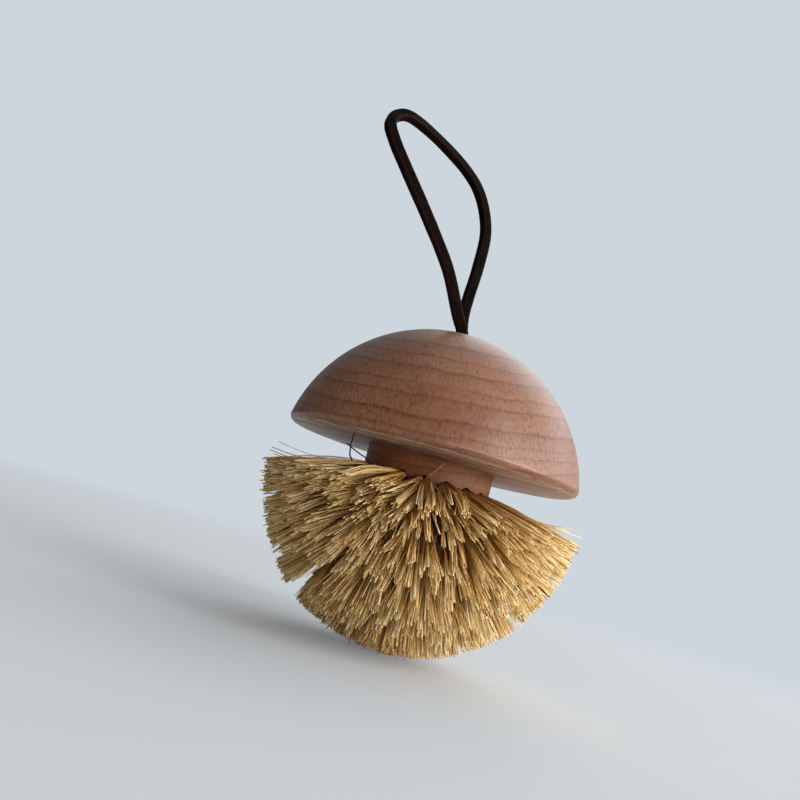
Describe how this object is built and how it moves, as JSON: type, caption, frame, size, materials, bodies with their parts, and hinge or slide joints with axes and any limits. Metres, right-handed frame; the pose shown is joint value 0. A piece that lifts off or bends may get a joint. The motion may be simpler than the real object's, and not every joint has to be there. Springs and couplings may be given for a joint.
{
  "type": "pot brush",
  "caption": "Round pot brush: turned wooden dome handle over a half-ball head of radiating plant-fibre tufts, with a leather hanging loop.",
  "frame": {"origin": "on the turning axis, in the plane that the bristle tips stand on", "axes": "+Z along the turning axis from the bristle tips up through the dome and its lace hole; -Y towards the viewer of the picture, so the loop leans to -X"},
  "size_m": [0.0874, 0.0876, 0.1464],
  "materials": {
    "oiled_beech": "oiled, satin",
    "plant_fibre": "natural cut fibre",
    "dark_leather": "dark brown, matt grain",
    "steel_wire": "drawn wire"
  },
  "bodies": {
    "root": {"dome_handle": "oiled_beech", "head_block": "oiled_beech", "tuft_top_01": "plant_fibre", "tuft_top_02": "plant_fibre", "tuft_top_03": "plant_fibre", "tuft_top_04": "plant_fibre", "tuft_top_05": "plant_fibre", "tuft_top_06": "plant_fibre", "tuft_top_07": "plant_fibre", "tuft_top_08": "plant_fibre", "tuft_top_09": "plant_fibre", "tuft_top_10": "plant_fibre", "tuft_top_11": "plant_fibre", "tuft_top_12": "plant_fibre", "tuft_top_13": "plant_fibre", "tuft_top_14": "plant_fibre", "tuft_top_15": "plant_fibre", "tuft_top_16": "plant_fibre", "tuft_top_17": "plant_fibre", "tuft_top_18": "plant_fibre", "tuft_upper_01": "plant_fibre", "tuft_upper_02": "plant_fibre", "tuft_upper_03": "plant_fibre", "tuft_upper_04": "plant_fibre", "tuft_upper_05": "plant_fibre", "tuft_upper_06": "plant_fibre", "tuft_upper_07": "plant_fibre", "tuft_upper_08": "plant_fibre", "tuft_upper_09": "plant_fibre", "tuft_upper_10": "plant_fibre", "tuft_upper_11": "plant_fibre", "tuft_upper_12": "plant_fibre", "tuft_upper_13": "plant_fibre", "tuft_upper_14": "plant_fibre", "tuft_lower_01": "plant_fibre", "tuft_lower_02": "plant_fibre", "tuft_lower_03": "plant_fibre", "tuft_lower_04": "plant_fibre", "tuft_lower_05": "plant_fibre", "tuft_lower_06": "plant_fibre", "tuft_lower_07": "plant_fibre", "tuft_lower_08": "plant_fibre", "tuft_lower_09": "plant_fibre", "tuft_lower_10": "plant_fibre", "tuft_bottom_01": "plant_fibre", "tuft_bottom_02": "plant_fibre", "tuft_bottom_03": "plant_fibre", "tuft_bottom_04": "plant_fibre", "tuft_bottom_05": "plant_fibre", "tuft_bottom_06": "plant_fibre", "tuft_centre_01": "plant_fibre", "draw_wire": "steel_wire", "hanging_loop": "dark_leather", "loop_knot": "dark_leather"}
  },
  "joints": []
}
